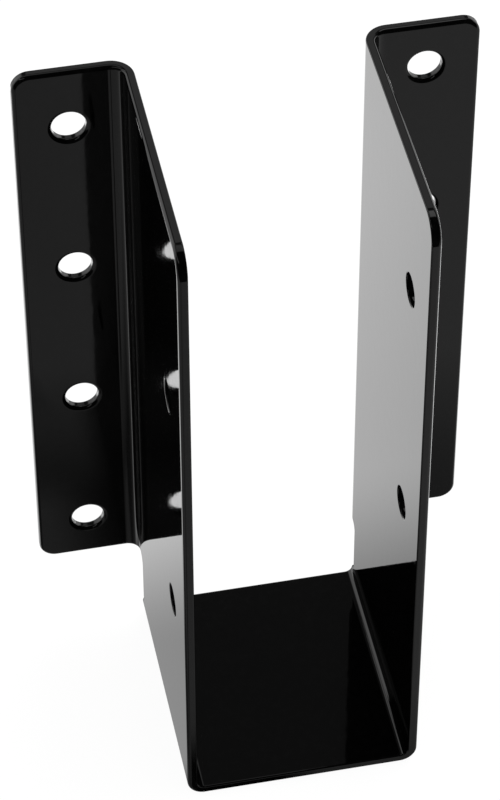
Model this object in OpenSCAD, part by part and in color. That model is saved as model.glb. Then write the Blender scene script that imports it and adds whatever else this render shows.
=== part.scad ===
// Face-mount joist hanger folded from one steel sheet: a seat, two side walls and two flanges.
// +Z is up, +Y points to the header that carries the hanger, and the joist lies along Y on the seat.
// The origin is at the middle of the width and depth, on the underside of the seat. Millimetres.

/* [Sheet] */
// Thickness of the coated steel sheet
sheet_t = 1.8; // [1.5:0.1:3]
// Inside radius of the two bends between the seat and the walls
seat_bend_r = 1.4; // [1:0.1:4]
// Inside radius of the two bends between the walls and the flanges
flange_bend_r = 2.4; // [1:0.1:4]
// Radius of the cut edges and header hole rims on the sheet's outer side, which rolled over as it was cut
roll_r = 0.7; // [0.2:0.05:0.8]
// Radius of the cut edges and rims on the side that faces the joist and header, and of both joist hole rims
edge_r = 0.3; // [0.1:0.05:0.5]

/* [Joist pocket] */
// Clear width between the side walls, for a joist of nominal two inches
joist_w = 39.7; // [30:0.1:120]
// Overall height, from the underside of the seat to the top edges
hanger_h = 133.4; // [90:0.1:300]
// Overall depth, from the front edges to the header face of the flanges
hanger_d = 51.8; // [40:0.1:120]
// Corner radius at the top front of each side wall
wall_corner_r = 4.5; // [1:0.1:12]

/* [Flanges] */
// Width of each flange, from the outside of its wall to its outer edge
flange_w = 18.9; // [16:0.1:60]
// Height of the lower edges of the flanges above the underside of the seat
flange_drop = 15.8; // [9:0.1:40]
// Radius of the outer corners of each flange
flange_corner_r = 3.2; // [1:0.1:6]

/* [Corner relief] */
// Radius in the wall where its lower back edge runs into the lower edge of the flange
relief_r = 1.5; // [0.6:0.1:3]
// Distance that the seat reaches back past the lower back edges of the walls, and the radius between them
seat_reach = 1.4; // [0.6:0.1:2]

/* [Header fasteners] */
// Diameter of the holes in the flanges
header_hole_d = 6; // [3:0.1:8]
// Distance from the outer edge of a flange to its line of holes
header_hole_edge = 9.5; // [6:0.1:11]
// Height of the lowest hole on the left flange above the lower edge of the flange
header_hole_low = 9.2; // [6:0.1:14]
// Spacing of the holes along a flange
header_hole_pitch = 32.1; // [12:0.1:60]
// Extra height of the line of holes on the right flange
header_hole_stagger = 3.1; // [0:0.1:16]
// Least distance from a hole's centre to the top edge of a flange
header_hole_top = 8; // [5:0.1:14]

/* [Joist fasteners] */
// Diameter of the holes in the side walls
joist_hole_d = 6; // [3:0.1:8]
// Distance from the front edge of a wall to its line of holes
joist_hole_edge = 12.1; // [6:0.1:25]
// Height of the lowest hole in the left wall above the seat
joist_hole_low = 39; // [12:0.1:45]
// Spacing of the holes up a wall
joist_hole_pitch = 51.3; // [12:0.1:80]
// Extra height of the line of holes in the right wall
joist_hole_stagger = 16.5; // [0:0.1:20]
// Least distance from a hole's centre to the top edge of a wall
joist_hole_top = 20; // [8:0.1:24]

/* [Hidden] */
$fn = 96;

LEFT = -1;
RIGHT = 1;
SIDES = [LEFT, RIGHT];

// Widths, measured from the middle plane
x_wall_in = joist_w / 2;
x_wall_out = x_wall_in + sheet_t;
x_flange_edge = x_wall_out + flange_w;
x_header_holes = x_flange_edge - header_hole_edge;

// Depths, from the front edges to the header face
y_front = -hanger_d / 2;
y_header = hanger_d / 2;
y_flange_front = y_header - sheet_t;
y_flange_bend = y_flange_front - flange_bend_r;
y_wall_low_back = y_flange_bend - relief_r;
y_seat_back = y_wall_low_back + seat_reach;
y_joist_holes = y_front + joist_hole_edge;

// Heights, from the underside of the seat
z_seat = sheet_t;
z_seat_bend = z_seat + seat_bend_r;
z_header_holes = flange_drop + header_hole_low;
z_joist_holes = z_seat + joist_hole_low;

// How far a cutting shape runs past the faces that it cuts
past = 0.5;

// Where the bends start, from the middle plane
x_seat_bend = x_wall_in - seat_bend_r;
x_flange_bend = x_wall_out + flange_bend_r;

// The cut edge of one half of the sheet, from the middle of the seat's front edge to the middle of its back.
// A line has a length. A turn stays in the plane of the sheet and has a radius and an angle, which is
// positive towards the sheet. A fold follows a bend and has its inside radius and its sense, which is
// 1 up from the seat and -1 away from the pocket.
LINE = "line";
TURN = "turn";
FOLD = "fold";
half_rim = [
    [LINE, x_seat_bend],
    [FOLD, seat_bend_r, 1],
    [LINE, hanger_h - wall_corner_r - z_seat_bend],
    [TURN, wall_corner_r, 90],
    [LINE, y_flange_bend - y_front - wall_corner_r],
    [FOLD, flange_bend_r, -1],
    [LINE, x_flange_edge - flange_corner_r - x_flange_bend],
    [TURN, flange_corner_r, 90],
    [LINE, hanger_h - flange_drop - 2 * flange_corner_r],
    [TURN, flange_corner_r, 90],
    [LINE, x_flange_edge - flange_corner_r - x_flange_bend],
    [FOLD, flange_bend_r, -1],
    [TURN, relief_r, -90],
    [LINE, flange_drop - relief_r - z_seat_bend - seat_reach],
    [TURN, seat_reach, -90],
    [TURN, 0, 90],
    [FOLD, seat_bend_r, 1],
    [LINE, x_seat_bend]
];

// Number of holes of one pitch between the first hole and the last height that is allowed
function count_to(first, last, pitch) = 1 + floor((last - first) / pitch);

function hole_heights(first, last, pitch) =
    [for (i = [0 : count_to(first, last, pitch) - 1]) first + i * pitch];

// Cross-section of a quarter bend, round the origin in the quadrant of +X and +Y
module bend_section(inside_r) {
    intersection() {
        difference() {
            circle(inside_r + sheet_t);
            circle(inside_r);
        }
        square(inside_r + sheet_t);
    }
}

// What rounding takes off a square corner at the origin, whose sides run along +X and +Y
module corner_waste(r) {
    difference() {
        translate([-past, -past]) square(r + past);
        translate([r, r]) circle(r);
    }
}

// What a fillet adds to an inner corner at the origin, whose sides run along +X and +Y
module corner_fillet(r) {
    difference() {
        square(r);
        translate([r, r]) circle(r);
    }
}

// A shape of the right-hand side, or its mirror image for the left-hand side
module on_side(side) {
    if (side == RIGHT) {
        children();
    } else {
        mirror([1, 0, 0]) children();
    }
}

// What rounding takes off both edges of the sheet's end. The sheet lies along -X from the origin, Y = 0 up.
module rim_waste(low_r, high_r) {
    mirror([1, 0]) corner_waste(low_r);
    translate([0, sheet_t]) rotate(180) corner_waste(high_r);
}

// The same along a straight end, from the origin along +Y. The sheet lies along -X, its outer side at Z = 0.
module rim_line(length) {
    translate([0, length, 0]) rotate([90, 0, 0]) linear_extrude(length) rim_waste(roll_r, edge_r);
}

// The same along a round outer corner, or along a round inner corner or hole with the sheet outside
module rim_turn(r, angle, inner = false, low_r = roll_r) {
    rotate_extrude(angle = angle) translate([r, 0]) mirror([inner ? 1 : 0, 0]) rim_waste(low_r, edge_r);
}

// The same along a quarter bend, which folds up round an axis along X
module rim_fold(inside_r, low_r, high_r) {
    rotate([0, 90, 0]) rotate_extrude(angle = 90)
        translate([inside_r + sheet_t, 0]) rotate(90) rim_waste(low_r, high_r);
}

// Turns a shape over, so that the other side of the sheet is up, or leaves it
module turn_over(turned) {
    if (turned) {
        translate([0, 0, sheet_t]) mirror([0, 0, 1]) children();
    } else {
        children();
    }
}

// What rounding takes off along a list of lines, turns and folds, each from where the one before it ends
module rim(steps, i = 0) {
    if (i < len(steps)) {
        kind = steps[i][0];
        size = steps[i][1];
        if (kind == LINE) {
            rim_line(size);
            translate([0, size, 0]) rim(steps, i + 1);
        } else if (kind == TURN && size == 0) {
            rotate(steps[i][2]) rim(steps, i + 1);
        } else if (kind == TURN && steps[i][2] > 0) {
            translate([-size, 0, 0]) {
                rim_turn(size, steps[i][2]);
                rotate(steps[i][2]) translate([size, 0, 0]) rim(steps, i + 1);
            }
        } else if (kind == TURN) {
            translate([size, 0, 0]) {
                mirror([1, 0, 0]) rim_turn(size, -steps[i][2], inner = true);
                rotate(steps[i][2]) translate([-size, 0, 0]) rim(steps, i + 1);
            }
        } else {
            axis = size + sheet_t;
            up = steps[i][2] > 0;
            turn_over(!up) translate([0, 0, axis]) {
                rim_fold(size, up ? roll_r : edge_r, up ? edge_r : roll_r);
                rotate([90, 0, 0]) translate([0, 0, -axis]) turn_over(!up) rim(steps, i + 1);
            }
        }
    }
}

// Lays a drawing of Y and Z out as a bar along X, from -half_w to half_w
module along_x(half_w) {
    rotate([90, 0, 90]) translate([0, 0, -half_w]) linear_extrude(2 * half_w) children();
}

// Lays a drawing of X and Z out as a bar along Y, from y0 to y1
module along_y(y0, y1) {
    translate([0, y1, 0]) rotate([90, 0, 0]) linear_extrude(y1 - y0) children();
}

// Half of the seat, its bend and one wall, seen from the front
module channel_section() {
    square([x_seat_bend, sheet_t]);
    translate([x_seat_bend, z_seat_bend]) mirror([0, 1]) bend_section(seat_bend_r);
    translate([x_wall_in, z_seat_bend]) square([sheet_t, hanger_h - z_seat_bend]);
}

// The back of one wall, its bend and the flange, seen from above
module flange_section() {
    translate([x_wall_in, y_wall_low_back]) square([sheet_t, y_flange_bend - y_wall_low_back]);
    translate([x_flange_bend, y_flange_bend]) mirror([1, 0]) bend_section(flange_bend_r);
    translate([x_flange_bend, y_flange_front]) square([x_flange_edge - x_flange_bend, sheet_t]);
}

// The space between the seat and the lower edge of the flange, seen from the side
module relief_outline() {
    difference() {
        translate([y_wall_low_back, z_seat_bend]) square([hanger_d, flange_drop - z_seat_bend]);
        translate([y_wall_low_back, z_seat_bend]) corner_fillet(seat_reach);
        translate([y_wall_low_back, flange_drop]) mirror([0, 1]) corner_fillet(relief_r);
    }
}

// One half of the sheet: the channel's half, the bend and the flange of that side
module half_sheet() {
    along_y(y_front, y_seat_back) channel_section();
    translate([0, 0, flange_drop - relief_r])
        linear_extrude(hanger_h - flange_drop + relief_r) flange_section();
}

// Rounded corners at the top front of the walls
module wall_corner_cuts() {
    along_x(x_flange_edge) translate([y_front, hanger_h]) mirror([0, 1]) corner_waste(wall_corner_r);
}

// Rounded outer corners of one flange
module flange_corner_cuts() {
    along_y(y_flange_front - past, y_header + past) {
        translate([x_flange_edge, hanger_h]) rotate(180) corner_waste(flange_corner_r);
        translate([x_flange_edge, flange_drop]) mirror([1, 0]) corner_waste(flange_corner_r);
    }
}

// A hole with rounded rims. The sheet is sheet_t thick along +Z, and its outer side is at Z = 0.
module hole(d, outer_r) {
    translate([0, 0, -past]) cylinder(d = d, h = sheet_t + 2 * past);
    rim_turn(d / 2, 360, inner = true, low_r = outer_r);
}

// Holes for the fasteners into the header, through the flange of one side
module header_holes(side) {
    low = z_header_holes + (side == RIGHT ? header_hole_stagger : 0);
    for (z = hole_heights(low, hanger_h - header_hole_top, header_hole_pitch)) {
        translate([side * x_header_holes, y_flange_front, z])
            rotate([-90, 0, 0]) hole(header_hole_d, roll_r);
    }
}

// Holes for the fasteners into the joist, through the wall of one side
module joist_holes(side) {
    low = z_joist_holes + (side == RIGHT ? joist_hole_stagger : 0);
    for (z = hole_heights(low, hanger_h - joist_hole_top, joist_hole_pitch)) {
        on_side(side) translate([x_wall_out, y_joist_holes, z])
            rotate([0, -90, 0]) hole(joist_hole_d, edge_r);
    }
}

module hanger() {
    color([0.06, 0.06, 0.06]) difference() {
        for (side = SIDES) on_side(side) half_sheet();
        along_x(x_flange_edge + past) relief_outline();
        wall_corner_cuts();
        for (side = SIDES) {
            on_side(side) flange_corner_cuts();
            on_side(side) translate([0, y_front, 0]) rotate(-90) rim(half_rim);
            header_holes(side);
            joist_holes(side);
        }
    }
}

hanger();
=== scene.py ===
import math
from functools import reduce

import bpy
from mathutils import Matrix

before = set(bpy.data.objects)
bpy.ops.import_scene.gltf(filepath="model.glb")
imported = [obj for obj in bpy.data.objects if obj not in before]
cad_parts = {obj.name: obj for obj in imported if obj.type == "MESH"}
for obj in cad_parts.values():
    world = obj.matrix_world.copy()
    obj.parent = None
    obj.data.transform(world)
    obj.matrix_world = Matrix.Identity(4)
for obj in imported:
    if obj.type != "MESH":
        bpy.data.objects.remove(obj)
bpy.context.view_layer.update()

# Looks of the joist hanger: gloss black coat on a folded steel sheet, on a white floor.
# Metres, in the frame's axes: +Z up, +Y towards the header, the joist lies along Y.
# The camera sees white round the hanger. What the coat mirrors is a light table just below the floor and
# a studio round it, both with bright and dark parts.

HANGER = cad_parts["hanger"]

# The camera, as it stood in the photo
CAMERA_PLACE = (-0.0912, -0.4272, 0.5055)
CAMERA_AZIMUTH = math.radians(-11.45)
CAMERA_ELEVATION = math.radians(44.69)
CAMERA_ROLL = math.radians(-0.10)
CAMERA_CLIP = 0.05
CAMERA_LENS_MM = 157.2
SENSOR_MM = 36

# The coat. A grain is a noise's scale, about so many spots to a metre, and levels are values of the noise
COAT_COLOR = (0.0005, 0.0005, 0.0005, 1)
COAT_IOR = 1.5
DUST_COLOR = (0.0014, 0.0014, 0.0014, 1)
DUST_GRAIN = 900
DUST_LEVELS = (0.45, 0.75)
ROUGHNESS_RANGE = (0.035, 0.06)
ROUGHNESS_GRAIN = 160
ROUGHNESS_LEVELS = (0.3, 0.7)
PEEL_GRAIN = 420
PEEL_STRENGTH = 0.25
PEEL_DEPTH = 0.00002

# Floor, light table and lamp
STAGE_SIZE = 6
TABLE_HEIGHT = -0.03
FLOOR_COLOR = (0.80, 0.80, 0.80, 1)
FLOOR_GLOW = 1.04
FLOOR_GLOW_SHARE = 0.9
WHITE = (1, 1, 1, 1)
LAMP_PLACE = (0.35, 0.45, 0.95)
LAMP_SIZE = 0.8
LAMP_WATTS = 6

# Every edge below is a pair of places, with the darkest light at the first and the brightest at the second

# Light on the table behind the hanger. A beside edge holds on the left and on the right
NEAR_LIGHT = 0.47
NEAR_Y_EDGE = (-0.005, 0.008)
NEAR_BESIDE_EDGE = (0.065, 0.045)
MIDDLE_LIGHT = 0.54
MIDDLE_Y_EDGE = (0.036, 0.080)
FAR_LIGHT = 0.25
FAR_Y_EDGE = (0.06, 0.20)
STRIP_LIGHT = 2.2
STRIP_Y_EDGE = (0.010, 0.035)
STRIP_INNER_BESIDE_EDGE = (0.055, 0.08)
STRIP_OUTER_BESIDE_EDGE = (0.20, 0.14)

# Light on the table in front of the hanger, with a dim oval spot
OPEN_LIGHT_RANGE = (0.29, 0.41)
OPEN_X_EDGE = (-0.02, 0.07)
SPOT_CENTRE = (-0.040, -0.018)
SPOT_WIDTH_TO_DEPTH = 3
SPOT_EDGE = (0.018, 0.056)
SPOT_SHARE = 0.2

# Light on the table on the left
LEFT_BACK_LIGHT = 0.1
LEFT_BACK_X_EDGE = (-0.09, -0.12)
LEFT_BACK_Y_EDGE = (-0.05, 0.0)
FAR_LEFT_LIGHT = 0.25
FAR_LEFT_X_EDGE = (-0.10, -0.16)
FAR_LEFT_Y_EDGE = (-0.005, 0.02)
PATCH_LIGHT = 0.15
PATCH_RIGHT_EDGE = (-0.021, -0.034)
PATCH_LEFT_EDGE = (-0.060, -0.045)
PATCH_FRONT_EDGE = (-0.045, -0.030)
PATCH_BACK_EDGE = (0, -0.010)

# Dark parts of the light in front and on the left, with the share that is left of it in them. The stripe's
# axis runs through its point, and its slope is its way in X for a way in Y
STRIPE_SHARE = 0.15
STRIPE_POINT = (-0.028, -0.025)
STRIPE_SLOPE = 0.235
STRIPE_RIGHT_EDGE = (0.003, 0.012)
STRIPE_LEFT_EDGE = (-0.003, -0.020)
STRIPE_BACK_EDGE = (-0.085, -0.055)
WALL_FOOT_LEFT_EDGE = (-0.0140, -0.0235)
WALL_FOOT_FRONT_EDGE = (-0.055, -0.068)
WALL_FOOT_RIGHT_EDGE = (0, 0.01)
FRONT_SHARE = 0.05
FRONT_EDGE = (-0.26, -0.19)

# The studio's light, with edges by direction: X, Y and Z of a vector of length 1
CEILING_LIGHT_RANGE = (0.42, 1.1)
CEILING_X_EDGE = (0.12, 0.19)
CEILING_Y_EDGE = (-0.04, 0.08)
CEILING_LOW_EDGE = (0.82, 0.87)
WALL_LIGHT = 1.08
WALL_Y_EDGE = (-0.1, 0.3)
WALL_LOW_EDGE = (-0.12, -0.06)
WALL_TOP_EDGE = (0.36, 0.32)
WALL_LEFT_TOP_EDGE = (0.62, 0.50)
WALL_LEFT_X_EDGE = (-0.30, -0.45)
PANEL_LIGHT = 0.35
PANEL_X_EDGE = (-0.15, -0.05)
PANEL_Y_EDGE = (0.3, 0.5)
PANEL_LOW_EDGE = (0.52, 0.56)
PANEL_TOP_EDGE = (0.73, 0.70)
LEFT_PANEL_X_EDGE = (-0.26, -0.32)
LEFT_PANEL_Y_EDGE = (0.648, 0.632)
LEFT_PANEL_LOW_EDGE = (0.60, 0.63)
LEFT_PANEL_TOP_EDGE = (0.74, 0.72)
DIM_LIGHT_RANGE = (0.01, 0.08)
DIM_Y_EDGE = (0.0, 0.4)

# The ray depth at which the coat's first mirror image meets the table and the studio, and the share of
# their light that is left in the next ones, where the coat mirrors its own gloss
TABLE_FIRST_DEPTH = 1
TABLE_SECOND_SHARE = 0.3
STUDIO_FIRST_DEPTH = 2
STUDIO_SECOND_SHARE = 0.12


class Nodes:
    """The node tree of a material or world, emptied, with short calls to fill it."""

    def __init__(self, owner):
        owner.use_nodes = True
        self.tree = owner.node_tree
        self.tree.nodes.clear()

    def add(self, kind, values=None, **settings):
        """A new node. values sets its input sockets, by name or number, from a socket or a plain value."""
        node = self.tree.nodes.new(kind)
        for name, setting in settings.items():
            setattr(node, name, setting)
        for name, value in (values or {}).items():
            if isinstance(value, bpy.types.NodeSocket):
                self.tree.links.new(value, node.inputs[name])
            else:
                node.inputs[name].default_value = value
        return node

    def math(self, operation, a, b=0.0):
        return self.add("ShaderNodeMath", {0: a, 1: b}, operation=operation).outputs[0]

    def product(self, *values):
        return reduce(lambda a, b: self.math("MULTIPLY", a, b), values)

    def total(self, *values):
        return reduce(lambda a, b: self.math("ADD", a, b), values)

    def most(self, *values):
        return reduce(lambda a, b: self.math("MAXIMUM", a, b), values)

    def change(self, value, start, end, before=0.0, after=1.0, way="SMOOTHSTEP"):
        """before while value is short of start, after when it is past end, and the way between them."""
        limits = {"Value": value, "From Min": start, "From Max": end, "To Min": before, "To Max": after}
        return self.add("ShaderNodeMapRange", limits, interpolation_type=way).outputs["Result"]

    def axes(self, vector):
        """The X, Y and Z sockets of a vector socket."""
        return self.add("ShaderNodeSeparateXYZ", {0: vector}).outputs

    def noise(self, vector, scale, detail):
        sockets = {"Vector": vector, "Scale": scale, "Detail": detail}
        return self.add("ShaderNodeTexNoise", sockets).outputs["Fac"]

    def mix(self, factor, a, b):
        """The number a at factor 0, and b at factor 1."""
        sockets = {"Factor": factor, "A": a, "B": b}
        return self.add("ShaderNodeMix", sockets, data_type="FLOAT").outputs["Result"]

    def mix_color(self, factor, a, b):
        """The colour a at factor 0, and b at factor 1. The node's sockets for colours go by number."""
        return self.add("ShaderNodeMix", {"Factor": factor, 6: a, 7: b}, data_type="RGBA").outputs[2]


def black_powder_coat():
    """Smooth gloss black coat with a faint orange peel and a breath of dust."""
    material = bpy.data.materials.new("black_powder_coat")
    n = Nodes(material)
    place = n.add("ShaderNodeTexCoord").outputs["Object"]
    dust = n.change(n.noise(place, DUST_GRAIN, detail=3), *DUST_LEVELS)
    unevenness = n.noise(place, ROUGHNESS_GRAIN, detail=2)
    peel = n.noise(place, PEEL_GRAIN, detail=1)
    bump = n.add("ShaderNodeBump", {"Strength": PEEL_STRENGTH, "Distance": PEEL_DEPTH, "Height": peel})
    shader = n.add("ShaderNodeBsdfPrincipled", {
        "Base Color": n.mix_color(dust, COAT_COLOR, DUST_COLOR),
        "Roughness": n.change(unevenness, *ROUGHNESS_LEVELS, *ROUGHNESS_RANGE),
        "IOR": COAT_IOR,
        "Normal": bump.outputs["Normal"],
    })
    n.add("ShaderNodeOutputMaterial", {"Surface": shader.outputs["BSDF"]})
    return material


def plane(name, height):
    """A large square in the XY plane, round the origin."""
    half = STAGE_SIZE / 2
    corners = [(-half, -half, height), (half, -half, height), (half, half, height), (-half, half, height)]
    mesh = bpy.data.meshes.new(name)
    mesh.from_pydata(corners, [], [(0, 1, 2, 3)])
    sheet = bpy.data.objects.new(name, mesh)
    bpy.context.scene.collection.objects.link(sheet)
    return sheet


def make_floor():
    """White to the camera, with the object's own soft shadow on it. The coat doesn't mirror it."""
    floor = plane("floor", 0)
    floor.visible_glossy = False
    material = bpy.data.materials.new("floor")
    n = Nodes(material)
    camera = n.add("ShaderNodeLightPath").outputs["Is Camera Ray"]
    matt = n.add("ShaderNodeBsdfDiffuse", {"Color": FLOOR_COLOR})
    glow = n.add("ShaderNodeEmission", {"Color": WHITE, "Strength": FLOOR_GLOW})
    share = n.product(camera, FLOOR_GLOW_SHARE)
    mixed = n.add("ShaderNodeMixShader", {0: share, 1: matt.outputs[0], 2: glow.outputs[0]})
    n.add("ShaderNodeOutputMaterial", {"Surface": mixed.outputs[0]})
    floor.data.materials.append(material)


def dim_second_mirror(n, light, first_depth, share):
    """light in the coat's first mirror image, and share of it in the next ones."""
    depth = n.add("ShaderNodeLightPath").outputs["Ray Depth"]
    return n.product(light, n.change(depth, first_depth, first_depth + 1, 1, share, "LINEAR"))


def light_behind(n, x, y):
    """The table's light behind the hanger: it grows in three steps, with a bright strip on each side."""
    beside = n.math("ABSOLUTE", x)
    near = n.product(n.change(y, *NEAR_Y_EDGE, after=NEAR_LIGHT), n.change(beside, *NEAR_BESIDE_EDGE))
    middle = n.change(y, *MIDDLE_Y_EDGE, after=MIDDLE_LIGHT)
    far = n.change(y, *FAR_Y_EDGE, after=FAR_LIGHT)
    strips = n.product(n.change(y, *STRIP_Y_EDGE, after=STRIP_LIGHT),
                       n.change(beside, *STRIP_INNER_BESIDE_EDGE),
                       n.change(beside, *STRIP_OUTER_BESIDE_EDGE))
    return n.most(n.total(middle, far, near), strips)


def light_in_front(n, x, y):
    """The table's light in front: a little stronger on the right, dim in a spot before the left flange."""
    across = n.math("DIVIDE", n.math("SUBTRACT", x, SPOT_CENTRE[0]), SPOT_WIDTH_TO_DEPTH)
    along = n.math("SUBTRACT", y, SPOT_CENTRE[1])
    offset = n.add("ShaderNodeCombineXYZ", {"X": across, "Y": along}).outputs[0]
    distance = n.add("ShaderNodeVectorMath", {0: offset}, operation="LENGTH").outputs["Value"]
    spot = n.change(distance, *SPOT_EDGE, before=SPOT_SHARE, way="LINEAR")
    return n.product(spot, n.change(x, *OPEN_X_EDGE, *OPEN_LIGHT_RANGE, way="LINEAR"))


def light_on_left(n, x, y):
    """What the left of the table adds: light far out at the back, and a patch before the left flange."""
    left_back = n.product(n.change(y, *LEFT_BACK_Y_EDGE, after=LEFT_BACK_LIGHT),
                          n.change(x, *LEFT_BACK_X_EDGE))
    far_left = n.product(n.change(y, *FAR_LEFT_Y_EDGE, after=FAR_LEFT_LIGHT),
                         n.change(x, *FAR_LEFT_X_EDGE))
    patch = n.product(n.change(x, *PATCH_RIGHT_EDGE, after=PATCH_LIGHT),
                      n.change(x, *PATCH_LEFT_EDGE),
                      n.change(y, *PATCH_FRONT_EDGE),
                      n.change(y, *PATCH_BACK_EDGE))
    return n.most(n.total(left_back, far_left), patch)


def dark_parts(n, x, y):
    """The share that is left of the light in front and on the left."""
    axis = n.total(n.product(n.math("SUBTRACT", y, STRIPE_POINT[1]), STRIPE_SLOPE), STRIPE_POINT[0])
    off_axis = n.math("SUBTRACT", x, axis)
    # The bend of the left flange mirrors this as its black line. Nearer than the back edge it would also
    # show in the flange itself
    stripe = n.most(n.change(off_axis, *STRIPE_RIGHT_EDGE, before=STRIPE_SHARE),
                    n.change(off_axis, *STRIPE_LEFT_EDGE, before=STRIPE_SHARE),
                    n.change(y, *STRIPE_BACK_EDGE))
    # The lowest part of the left flange mirrors this, and gets darker towards the wall
    wall_foot = n.most(n.change(x, *WALL_FOOT_LEFT_EDGE),
                       n.change(y, *WALL_FOOT_FRONT_EDGE),
                       n.change(x, *WALL_FOOT_RIGHT_EDGE))
    front = n.change(y, *FRONT_EDGE, before=FRONT_SHARE)
    return n.product(stripe, wall_foot, front)


def make_light_table():
    """What only the coat mirrors, just below the floor: bright behind the hanger, dim in front of it."""
    table = plane("light_table", TABLE_HEIGHT)
    table.visible_camera = table.visible_diffuse = table.visible_shadow = False
    table.visible_transmission = False
    material = bpy.data.materials.new("light_table")
    n = Nodes(material)
    x, y, _ = n.axes(n.add("ShaderNodeTexCoord").outputs["Object"])
    front = n.product(n.total(light_in_front(n, x, y), light_on_left(n, x, y)), dark_parts(n, x, y))
    light = n.most(light_behind(n, x, y), front)
    light = dim_second_mirror(n, light, TABLE_FIRST_DEPTH, TABLE_SECOND_SHARE)
    glow = n.add("ShaderNodeEmission", {"Color": WHITE, "Strength": light})
    n.add("ShaderNodeOutputMaterial", {"Surface": glow.outputs[0]})
    table.data.materials.append(material)


def studio_light(n):
    """The studio, as the coat mirrors it: mostly dim, with a bright ceiling, wall and panels."""
    x, y, z = n.axes(n.add("ShaderNodeTexCoord").outputs["Generated"])
    # Overhead and behind, brighter on the right
    ceiling = n.product(n.change(z, *CEILING_LOW_EDGE),
                        n.change(y, *CEILING_Y_EDGE),
                        n.change(x, *CEILING_X_EDGE, *CEILING_LIGHT_RANGE))
    # Low and behind, and higher on the left
    high_left = n.product(n.change(z, *WALL_LEFT_TOP_EDGE), n.change(x, *WALL_LEFT_X_EDGE))
    wall = n.product(n.most(n.change(z, *WALL_TOP_EDGE), high_left),
                     n.change(z, *WALL_LOW_EDGE),
                     n.change(y, *WALL_Y_EDGE, after=WALL_LIGHT))
    # Halfway up: a weak one behind, and a bright one on the left, for the front of the seat's right bend
    panel = n.product(n.change(z, *PANEL_LOW_EDGE),
                      n.change(z, *PANEL_TOP_EDGE),
                      n.change(x, *PANEL_X_EDGE),
                      n.change(y, *PANEL_Y_EDGE, after=PANEL_LIGHT))
    left_panel = n.product(n.change(z, *LEFT_PANEL_LOW_EDGE),
                           n.change(z, *LEFT_PANEL_TOP_EDGE),
                           n.change(x, *LEFT_PANEL_X_EDGE),
                           n.change(y, *LEFT_PANEL_Y_EDGE))
    dim = n.change(y, *DIM_Y_EDGE, *DIM_LIGHT_RANGE)
    return n.total(ceiling, wall, panel, left_panel, dim)


def make_world():
    """Even white light and a white background, apart from what the coat mirrors."""
    world = bpy.data.worlds.new("studio")
    bpy.context.scene.world = world
    n = Nodes(world)
    mirrored = dim_second_mirror(n, studio_light(n), STUDIO_FIRST_DEPTH, STUDIO_SECOND_SHARE)
    gloss = n.add("ShaderNodeLightPath").outputs["Is Glossy Ray"]
    glow = n.add("ShaderNodeBackground", {"Color": WHITE, "Strength": n.mix(gloss, 1.0, mirrored)})
    n.add("ShaderNodeOutputWorld", {"Surface": glow.outputs[0]})


def make_lamp():
    """A large soft lamp over the object's back right, which gives its shadow a direction."""
    data = bpy.data.lights.new("softbox", "AREA")
    data.shape = "SQUARE"
    data.size = LAMP_SIZE
    data.energy = LAMP_WATTS
    lamp = bpy.data.objects.new("softbox", data)
    bpy.context.scene.collection.objects.link(lamp)
    lamp.location = LAMP_PLACE
    lamp.rotation_euler = (-lamp.location).to_track_quat("-Z", "Y").to_euler()
    lamp.visible_glossy = False


def make_camera():
    data = bpy.data.cameras.new("camera")
    data.lens = CAMERA_LENS_MM
    data.sensor_width = SENSOR_MM
    data.clip_start = CAMERA_CLIP
    camera = bpy.data.objects.new("camera", data)
    bpy.context.scene.collection.objects.link(camera)
    turn = Matrix.Rotation(CAMERA_AZIMUTH, 4, "Z")
    tilt = Matrix.Rotation(math.pi / 2 - CAMERA_ELEVATION, 4, "X")
    roll = Matrix.Rotation(CAMERA_ROLL, 4, "Z")
    camera.matrix_world = Matrix.Translation(CAMERA_PLACE) @ turn @ tilt @ roll
    bpy.context.scene.camera = camera


HANGER.data.materials.clear()
HANGER.data.materials.append(black_powder_coat())
make_floor()
make_light_table()
make_world()
make_lamp()
make_camera()
bpy.context.scene.view_settings.view_transform = "Standard"
